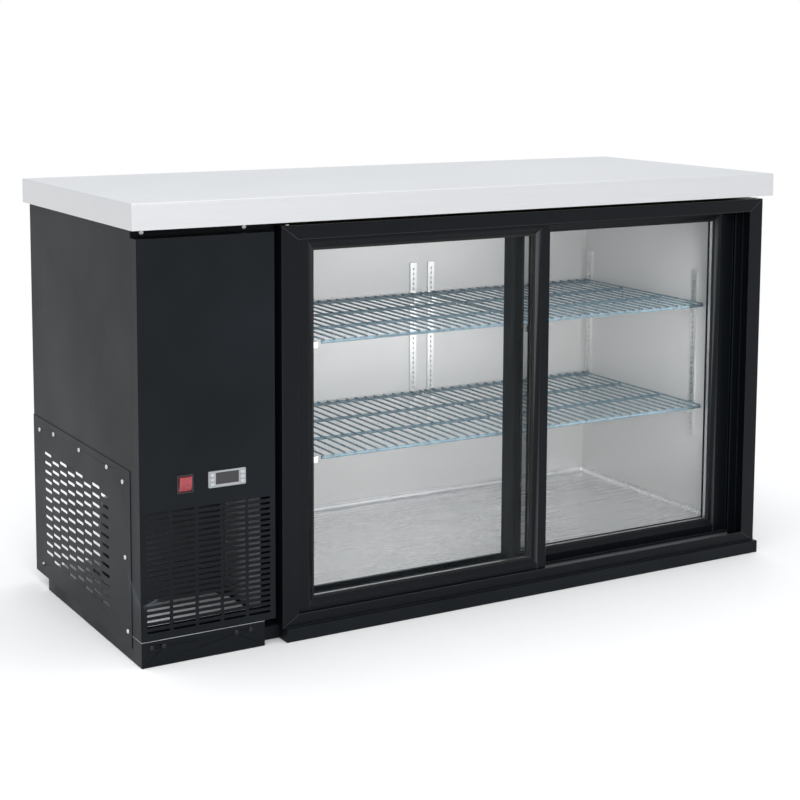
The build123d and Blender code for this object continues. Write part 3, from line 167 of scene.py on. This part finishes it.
class Finish:
    """A node material in the making: a Principled shader and short calls for the usual nodes."""

    def __init__(self, name, roughness=0.5, metallic=0.0, specular=0.5, space="Object"):
        self.material = bpy.data.materials.new(name)
        self.material.use_nodes = True
        self.tree = self.material.node_tree
        self.shader = self.tree.nodes["Principled BSDF"]
        self.shader.inputs["Roughness"].default_value = roughness
        self.shader.inputs["Metallic"].default_value = metallic
        self.shader.inputs["Specular IOR Level"].default_value = specular
        self.place = self.tree.nodes.new("ShaderNodeTexCoord").outputs[space]

    def link(self, source, target):
        self.tree.links.new(source, target)

    def stretch(self, scale):
        node = self.tree.nodes.new("ShaderNodeMapping")
        node.inputs["Scale"].default_value = scale
        self.link(self.place, node.inputs["Vector"])
        return node.outputs["Vector"]

    def noise(self, scale, detail=3.0, stretch=None, roughness=0.5):
        node = self.tree.nodes.new("ShaderNodeTexNoise")
        node.inputs["Scale"].default_value = scale
        node.inputs["Detail"].default_value = detail
        node.inputs["Roughness"].default_value = roughness
        self.link(self.stretch(stretch) if stretch else self.place, node.inputs["Vector"])
        return node.outputs["Fac"]

    def ramp(self, value, low, high, start=0.0, end=1.0):
        """Maps value from low..high to start..end, clamped."""
        node = self.tree.nodes.new("ShaderNodeMapRange")
        node.inputs["From Min"].default_value = low
        node.inputs["From Max"].default_value = high
        node.inputs["To Min"].default_value = start
        node.inputs["To Max"].default_value = end
        self.link(value, node.inputs["Value"])
        return node.outputs["Result"]

    def math(self, operation, a, b):
        node = self.tree.nodes.new("ShaderNodeMath")
        node.operation = operation
        for socket, value in zip(node.inputs, (a, b)):
            if isinstance(value, (int, float)):
                socket.default_value = value
            else:
                self.link(value, socket)
        return node.outputs["Value"]

    def mix(self, factor, a, b):
        """Blends two colours, or outputs that carry colours, by a factor output."""
        node = self.tree.nodes.new("ShaderNodeMix")
        node.data_type = "RGBA"
        self.link(factor, node.inputs["Factor"])
        inputs = [socket for socket in node.inputs if socket.type == "RGBA"]
        for socket, value in zip(inputs, (a, b)):
            if isinstance(value, tuple):
                socket.default_value = (*value, 1)
            else:
                self.link(value, socket)
        return next(socket for socket in node.outputs if socket.type == "RGBA")

    def height(self, axis):
        """The place on the object along one axis, in metres."""
        node = self.tree.nodes.new("ShaderNodeSeparateXYZ")
        self.link(self.place, node.inputs["Vector"])
        return node.outputs[axis]

    def bump(self, height, strength, distance):
        node = self.tree.nodes.new("ShaderNodeBump")
        node.inputs["Strength"].default_value = strength
        node.inputs["Distance"].default_value = distance
        self.link(height, node.inputs["Height"])
        self.link(node.outputs["Normal"], self.shader.inputs["Normal"])

    def mottle(self, value, band, dark, light):
        """Base colour that drifts between two tones as value crosses a band."""
        self.set("Base Color", self.mix(self.ramp(value, *band), dark, light))

    def edges(self, radius, low, high):
        """0 on flat faces and 1 on the sharp edges, found by how far a rounded normal leans there."""
        rounded = self.tree.nodes.new("ShaderNodeBevel")
        rounded.samples = 6
        rounded.inputs["Radius"].default_value = radius
        lean = self.tree.nodes.new("ShaderNodeVectorMath")
        lean.operation = "DOT_PRODUCT"
        self.link(rounded.outputs["Normal"], lean.inputs[0])
        self.link(self.tree.nodes.new("ShaderNodeNewGeometry").outputs["True Normal"], lean.inputs[1])
        return self.ramp(lean.outputs["Value"], high, low, 0.0, 1.0)

    def set(self, socket, value):
        if isinstance(value, tuple):
            self.shader.inputs[socket].default_value = (*value, 1)
        elif isinstance(value, (int, float)):
            self.shader.inputs[socket].default_value = value
        else:
            self.link(value, self.shader.inputs[socket])


def plain_floor():
    """A pale floor that fades into plain white far from the object."""
    finish = Finish("pale_floor", roughness=0.9, specular=0.1)
    finish.set("Base Color", finish.mix(finish.noise(1.5), FLOOR_GREY, FLOOR_SHADE))
    reach = finish.tree.nodes.new("ShaderNodeVectorMath")
    reach.operation = "LENGTH"
    finish.link(finish.place, reach.inputs[0])
    glow = finish.tree.nodes.new("ShaderNodeEmission")
    blend = finish.tree.nodes.new("ShaderNodeMixShader")
    finish.link(finish.ramp(reach.outputs["Value"], *FLOOR_FADE), blend.inputs["Fac"])
    finish.link(finish.shader.outputs["BSDF"], blend.inputs[1])
    finish.link(glow.outputs["Emission"], blend.inputs[2])
    finish.link(blend.outputs["Shader"], finish.tree.nodes["Material Output"].inputs["Surface"])
    return finish.material


def brushed_metal(name, colour, roughness, along, depth=0.00002, contrast=0.06, metallic=1.0):
    """Brushed sheet: fine streaks along one axis (0, 1 or 2), soft cloudy variation and faint smudges."""
    finish = Finish(name, metallic=metallic)
    grain = [260.0, 260.0, 260.0]
    grain[along] = 3.0
    streaks = finish.noise(1.0, detail=6.0, stretch=tuple(grain), roughness=0.65)
    clouds = finish.noise(3.0, detail=3.0)
    smudges = finish.noise(11.0, detail=4.0, roughness=0.6)
    dark = tuple(c * (1 - contrast) for c in colour)
    finish.mottle(streaks, NARROW_BAND, dark, colour)
    streaked = finish.ramp(streaks, *WIDE_BAND, -0.06, 0.06)
    clouded = finish.ramp(clouds, *WIDE_BAND, -0.04, 0.05)
    varied = finish.math("ADD", streaked, clouded)
    worn = finish.math("ADD", varied, finish.ramp(smudges, 0.55, 0.75, 0.0, 0.06))
    finish.set("Roughness", finish.math("ADD", worn, roughness))
    finish.bump(streaks, 0.25, depth)
    return finish.material


def powder_coat(name, colour, roughness=0.42, specular=0.11, peel=0.00006):
    """Baked powder coat: orange peel in the surface, faint cloudy sheen and a few fine specks."""
    finish = Finish(name, specular=specular)
    skin = finish.noise(620.0, detail=2.0)
    clouds = finish.noise(4.0, detail=4.0)
    specks = finish.ramp(finish.noise(900.0, detail=1.0), 0.74, 0.80)
    lighter = tuple(c * 1.25 + 0.002 for c in colour)
    tone = finish.mix(finish.ramp(clouds, 0.35, 0.7), colour, lighter)
    finish.set("Base Color", finish.mix(specks, tone, tuple(c * 2.2 + 0.01 for c in colour)))
    finish.set("Roughness", finish.math("ADD", finish.ramp(clouds, *WIDE_BAND, -0.05, 0.07), roughness))
    finish.bump(skin, 0.35, peel)
    return finish.material


def anodised(name, colour, roughness=0.32, along=2, metallic=0.55, specular=0.5):
    """Anodised extrusion: die lines along its length, light handling marks and a painted highlight on its
    sharp edges.
    """
    finish = Finish(name, metallic=metallic, specular=specular)
    grain = [420.0, 420.0, 420.0]
    grain[along] = 1.2
    lines = finish.noise(1.0, detail=5.0, stretch=tuple(grain), roughness=0.7)
    marks = finish.noise(24.0, detail=5.0, roughness=0.65)
    tone = finish.mix(finish.ramp(lines, *WIDE_BAND), colour, tuple(c * 1.35 for c in colour))
    # painted highlight: the base colour turns lighter on the sharp edges
    finish.set("Base Color", finish.mix(finish.edges(0.0016, 0.80, 0.97), tone, EDGE_HIGHLIGHT))
    lined = finish.ramp(lines, *WIDE_BAND, -0.05, 0.06)
    marked = finish.ramp(marks, 0.5, 0.75, 0.0, 0.09)
    finish.set("Roughness", finish.math("ADD", finish.math("ADD", lined, marked), roughness))
    finish.bump(lines, 0.3, 0.00003)
    return finish.material


def moulded(name, colour, roughness=0.5, specular=0.45, texture=0.00004, scale=1400.0):
    """Moulded plastic or rubber with a fine spark-eroded texture."""
    finish = Finish(name, specular=specular)
    grain = finish.noise(scale, detail=2.0)
    clouds = finish.noise(30.0, detail=3.0)
    finish.mottle(clouds, WIDE_BAND, tuple(c * 0.92 for c in colour), colour)
    finish.set("Roughness", finish.math("ADD", finish.ramp(grain, *WIDE_BAND, -0.05, 0.06), roughness))
    finish.bump(grain, 0.4, texture)
    return finish.material


def shaded_epoxy_wire():
    """Dipped epoxy coating on shelf wire: pale blue grey in itself, but painted much darker as painted
    shade on the wires; slightly thick and uneven.
    """
    finish = Finish("shelf_epoxy_painted_shade", roughness=0.3, specular=0.5)
    runs = finish.noise(90.0, detail=3.0)
    # painted shade: both tones are far darker than the pale coating, standing in for the shaded sides of
    # the wires
    finish.mottle(runs, NARROW_BAND, (0.11, 0.17, 0.205), (0.17, 0.25, 0.29))
    finish.set("Roughness", finish.ramp(runs, *WIDE_BAND, 0.24, 0.38))
    finish.bump(runs, 0.3, 0.0002)
    return finish.material


def clear_glass():
    """Clear glass, as a thin dark film that is almost fully see-through, with faint cleaning haze."""
    finish = Finish("door_glass", roughness=0.03, specular=0.5)
    haze = finish.noise(7.0, detail=4.0)
    finish.mottle(haze, WIDE_BAND, (0.04, 0.06, 0.065), (0.09, 0.11, 0.115))
    finish.set("Roughness", finish.ramp(haze, 0.35, 0.75, 0.02, 0.06))
    finish.set("Alpha", finish.ramp(haze, 0.3, 0.8, 0.020, 0.035))
    return finish.material


def plinth_finish():
    """Black paint on the sides of the plinth, and bare sheet on its top plate, painted brighter than bare
    sheet to stand in for the light on it seen through the front slots.
    """
    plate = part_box("plinth")[1].z
    finish = Finish("plinth_sheet", roughness=0.4, specular=0.11)
    top = finish.ramp(finish.height("Z"), plate - 0.0006, plate - 0.0003)
    clouds = finish.noise(9.0, detail=4.0)
    # bare sheet with painted light: the tones are raised to stand in for the light on the top plate seen
    # through the front slots
    bare_sheet_and_painted_light = finish.mix(finish.ramp(clouds, *NARROW_BAND), (0.50, 0.51, 0.52), (0.66, 0.67, 0.68))
    finish.set("Base Color", finish.mix(top, BLACK_PAINT, bare_sheet_and_painted_light))
    finish.set("Roughness", finish.ramp(clouds, *WIDE_BAND, 0.34, 0.48))
    finish.bump(finish.noise(620.0, detail=2.0), 0.3, 0.00005)
    return finish.material


def screw_finish():
    """Bright zinc screws, except those of the plinth, which are painted black with it."""
    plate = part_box("plinth")[1].z
    finish = Finish("screw_zinc", roughness=0.3, specular=0.4)
    above = finish.ramp(finish.height("Z"), plate, plate + 0.002)
    wear = finish.noise(500.0, detail=4.0)
    bright = finish.mix(finish.ramp(wear, *NARROW_BAND), (0.60, 0.61, 0.60), (0.80, 0.81, 0.80))
    finish.set("Base Color", finish.mix(above, (0.010, 0.011, 0.013), bright))
    finish.set("Metallic", finish.math("MULTIPLY", above, 0.8))
    finish.set("Roughness", finish.ramp(wear, *WIDE_BAND, 0.26, 0.40))
    finish.bump(wear, 0.3, 0.00004)
    return finish.material


def coated_foam():
    """Rigid foam with a cellular skin."""
    finish = Finish("rigid_foam", roughness=0.9, specular=0.1)
    cells = finish.noise(300.0, detail=4.0)
    finish.set("Base Color", finish.mix(cells, (0.72, 0.62, 0.38), (0.80, 0.72, 0.50)))
    finish.bump(cells, 0.5, 0.0004)
    return finish.material


def lens_red():
    """Glossy red rocker plastic, a little deeper in places."""
    finish = Finish("rocker_red", roughness=0.18, specular=0.6)
    depth = finish.noise(160.0, detail=3.0)
    finish.mottle(depth, WIDE_BAND, (0.24, 0.018, 0.026), (0.34, 0.045, 0.055))
    finish.set("Roughness", finish.ramp(depth, *WIDE_BAND, 0.14, 0.26))
    return finish.material


def dark_screen():
    """Smoked display window."""
    finish = Finish("smoked_screen", roughness=0.12, specular=0.6)
    haze = finish.noise(60.0, detail=3.0)
    finish.set("Base Color", finish.mix(haze, (0.010, 0.008, 0.010), (0.022, 0.017, 0.022)))
    finish.set("Roughness", finish.ramp(haze, *WIDE_BAND, 0.08, 0.18))
    return finish.material


MATERIALS = {
    "stainless": brushed_metal(
        "worktop_steel", (0.64, 0.648, 0.660), 0.36, along=0, contrast=0.035, metallic=0.55
    ),
    "core_board": moulded("core_board", (0.45, 0.33, 0.2), roughness=0.8, scale=300.0),
    "foam": coated_foam(),
    "liner_metal": brushed_metal(
        "liner_metal", (0.66, 0.66, 0.655), 0.40, along=0, contrast=0.025, metallic=0.35
    ),
    "tray_metal": brushed_metal(
        "tray_metal", (0.68, 0.685, 0.69), 0.26, along=0, contrast=0.03, metallic=0.6
    ),
    "galvanised": powder_coat("galvanised", (0.32, 0.33, 0.34), roughness=0.5),
    "black_paint": powder_coat("black_powder_coat", BLACK_PAINT),
    "black_aluminium": anodised("black_extrusion", (0.0029, 0.0040, 0.0056), metallic=0.1, specular=0.15),
    "glass": clear_glass(),
    "spacer_metal": brushed_metal("spacer_metal", (0.70, 0.72, 0.74), 0.35, along=2),
    "black_rubber": moulded("black_rubber", (0.012, 0.012, 0.012), roughness=0.7, specular=0.3),
    "zinc": brushed_metal("zinc_plate", (0.78, 0.79, 0.78), 0.33, along=2),
    "shelf_coating": shaded_epoxy_wire(),
    "compressor_paint": powder_coat(
        "compressor_enamel", (0.010, 0.010, 0.011), roughness=0.25, specular=0.5
    ),
    "coil_aluminium": brushed_metal("coil_fins", (0.045, 0.047, 0.050), 0.5, along=0, metallic=0.4),
    "copper": brushed_metal("copper_pipe", (0.72, 0.36, 0.20), 0.32, along=1),
    "black_plastic": moulded("black_plastic", (0.015, 0.015, 0.017), roughness=0.5),
    "white_plastic": moulded("roller_nylon", (0.78, 0.78, 0.75), roughness=0.45),
    "red_plastic": lens_red(),
    "grey_plastic": moulded("controller_grey", (0.32, 0.335, 0.35), roughness=0.42),
    "key_plastic": moulded("key_grey", (0.46, 0.48, 0.50), roughness=0.4),
    "screen_plastic": dark_screen(),
}


OWN_FINISH = {"plinth": plinth_finish(), "panel_screws": screw_finish()}


def paint_cad_nodes():
    """Gives every CAD node its own finish, or else that of its record slot."""
    slots = {row["node"]: row["material_slot"] for row in frame["record"]["subparts"]}
    for name, node in frame["nodes"].items():
        finish = OWN_FINISH.get(name) or MATERIALS[slots[name]]
        if not node.data.materials:
            node.data.materials.append(finish)
        for index in range(len(node.material_slots)):
            node.material_slots[index].material = finish


# ------------------------------------------------------------------ mesh helpers
SHARP = math.radians(32)
WELD_GAP = 0.00002
BEAD_WIDTH = 0.0048
EDGE_RADIUS = {
    "outer_door_frame": 0.0011, "inner_door_frame": 0.0011, "frame_jamb_left": 0.0009,
    "frame_jamb_right": 0.0009, "frame_head": 0.0009, "frame_sill": 0.0009, "front_cover": 0.0005,
    "side_panel_left": 0.0005, "side_access_panel": 0.0004, "side_panel_right": 0.0005,
    "base_pan": 0.0007, "plinth": 0.0007, "face_frame": 0.0004, "rear_grille": 0.0004,
    "controller_body": 0.0003, "switch_housing": 0.0003, "centre_post": 0.0008,
    "shelf_clips": 0.0010, "evaporator_cover": 0.0004,
}


def soften_edges():
    """Rounds the sharp edges of the folded and extruded metal, so that they catch the light."""
    for name, radius in EDGE_RADIUS.items():
        node = frame["nodes"][name]
        weld = node.modifiers.new("weld", "WELD")
        weld.merge_threshold = WELD_GAP
        bevel = node.modifiers.new("rounded_edges", "BEVEL")
        bevel.limit_method = "ANGLE"
        bevel.angle_limit = SHARP
        bevel.width = radius
        bevel.segments = 2
        bevel.use_clamp_overlap = True
        bevel.harden_normals = False
        node.modifiers.new("face_normals", "WEIGHTED_NORMAL").keep_sharp = False


def new_piece(name, points, faces, body, slot, replaced=(), smooth=True):
    """A mesh object with the finish of its record slot, riding on a body."""
    mesh = bpy.data.meshes.new(name)
    mesh.from_pydata(points, [], faces)
    mesh.validate()
    mesh.polygons.foreach_set("use_smooth", [smooth] * len(mesh.polygons))
    piece = bpy.data.objects.new(name, mesh)
    bpy.context.scene.collection.objects.link(piece)
    mesh.materials.append(MATERIALS[slot])
    if replaced:
        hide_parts(*replaced)
    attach(piece, body)
    return piece


def loop_faces(rings, size, closed):
    """Quads between successive rings of points; closed joins the last ring to the first."""
    faces = []
    for ring in range(rings if closed else rings - 1):
        here, there = ring * size, (ring + 1) % rings * size
        for k in range(size):
            following = (k + 1) % size
            faces.append((here + k, here + following, there + following, there + k))
    return faces


def rounded_bead(width, depth, steps=5):
    """Half-round section of a rubber bead: (in from its outer edge, proud of its seat)."""
    section = [(0.0, 0.0)]
    for k in range(steps + 1):
        turn = math.pi * k / steps
        section.append((width / 2 - width / 2 * math.cos(turn), depth * (0.25 + 0.75 * math.sin(turn))))
    section.append((width, 0.0))
    return section


def mitred_ring(low, high, seat_y, outward, section):
    """A section swept round an upright rectangle, with mitred corners."""
    rings = []
    for x_in, z_in, x, z in ((1, 1, low.x, low.z), (-1, 1, high.x, low.z),
                             (-1, -1, high.x, high.z), (1, -1, low.x, high.z)):
        rings += [(x + x_in * u, seat_y + outward * v, z + z_in * u) for u, v in section]
    return rings


def glazing_beads():
    """Rounded rubber beads that hold the glass, front and back, in each door."""
    for door in ("outer_door", "inner_door"):
        node = f"{door}_glazing_seal"
        low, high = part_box(node)
        glass_low, glass_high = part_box(f"{door}_glass")
        section = rounded_bead(BEAD_WIDTH, glass_low.y - low.y)
        points, faces = [], []
        for seat_y, outward in ((glass_low.y, -1), (glass_high.y, 1)):
            start = len(points)
            points += mitred_ring(low, high, seat_y, outward, section)
            faces += [tuple(start + k for k in face) for face in loop_faces(4, len(section), True)]
        new_piece(f"{door}_beads", points, faces, door, "black_rubber", (node,))


FIN_COUNT = 4
FIN_ROOT = 0.0022       # thickness where the fin leaves its strip
FIN_TIP = 0.0009
FIN_LIP = 0.0004        # how far the rounded lip swells beyond the tip
FIN_INSET = 0.001       # the outer fins stand in from the seal's sides by this much
LIP_START = 0.85        # along the fin, where the lip begins
FIN_STEPS = 9


def fin_outline(x, root_y, reach):
    """One fin seen along Z: a thick root, a thin curved blade and a rounded lip."""
    left, right = [], []
    for k in range(FIN_STEPS + 1):
        t = k / FIN_STEPS
        half = (FIN_ROOT + (FIN_TIP - FIN_ROOT) * min(1.0, 1.6 * t)) / 2
        if t > LIP_START:
            half += FIN_LIP * math.sin(math.pi * (t - LIP_START) / (1 - LIP_START))
        sway = 0.0007 * math.sin(math.pi * t) - 0.0005 * t
        left.append((x + sway - half, root_y - reach * t))
        right.append((x + sway + half, root_y - reach * t))
    return left + right[::-1]


def sealing_fins():
    """The flexible fins of the meeting seal, over the whole height of the door."""
    low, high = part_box("meeting_seal")
    pitch = (high.x - low.x - 2 * FIN_INSET) / (FIN_COUNT - 1)
    points, faces = [], []
    for index in range(FIN_COUNT):
        outline = fin_outline(low.x + FIN_INSET + index * pitch, high.y, high.y - low.y)
        start, size = len(points), len(outline)
        for z in (low.z, high.z):
            points += [(x, y, z) for x, y in outline]
        faces += [tuple(start + k for k in face) for face in loop_faces(2, size, False)]
        faces.append(tuple(start + k for k in range(size)))
        faces.append(tuple(start + size + k for k in reversed(range(size))))
    new_piece("meeting_seal_fins", points, faces, "inner_door", "black_rubber", ("meeting_seal",))


BEND_COUNT = 6
BEND_RADIUS = 0.0045    # of the tube itself
BEND_SIDES = 12
BEND_STEPS = 10
BEND_REACH = 0.004      # how far a bend stands out from the end of the coil
BEND_DEPTH = 0.018      # behind the coil's front face


def return_bends():
    """Copper tube bends at the end of the condenser, seen through the front slots."""
    low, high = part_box("condenser")
    shroud_low, shroud_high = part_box("fan_shroud")
    half_gap = (shroud_high.z - shroud_low.z) / BEND_COUNT / 2
    depth_axis = Vector((0, 1, 0))
    points, faces = [], []
    for row in range(BEND_COUNT):
        middle = shroud_low.z + (row + 0.5) * 2 * half_gap
        start = len(points)
        for k in range(BEND_STEPS + 1):
            turn = math.pi * k / BEND_STEPS
            x = high.x + BEND_REACH * math.sin(turn)
            centre = Vector((x, low.y + BEND_DEPTH, middle - half_gap / 2 * math.cos(turn)))
            across = Vector((math.sin(turn), 0, -math.cos(turn)))
            for side in range(BEND_SIDES):
                angle = math.tau * side / BEND_SIDES
                spoke = math.cos(angle) * across + math.sin(angle) * depth_axis
                points.append(centre + BEND_RADIUS * spoke)
        faces += [tuple(start + k for k in face) for face in loop_faces(BEND_STEPS + 1, BEND_SIDES, False)]
    new_piece("condenser_return_bends", points, faces, "cabinet", "copper")


# ------------------------------------------------------------------ build
make_camera()
make_studio()
paint_cad_nodes()
soften_edges()
glazing_beads()
sealing_fins()
return_bends()
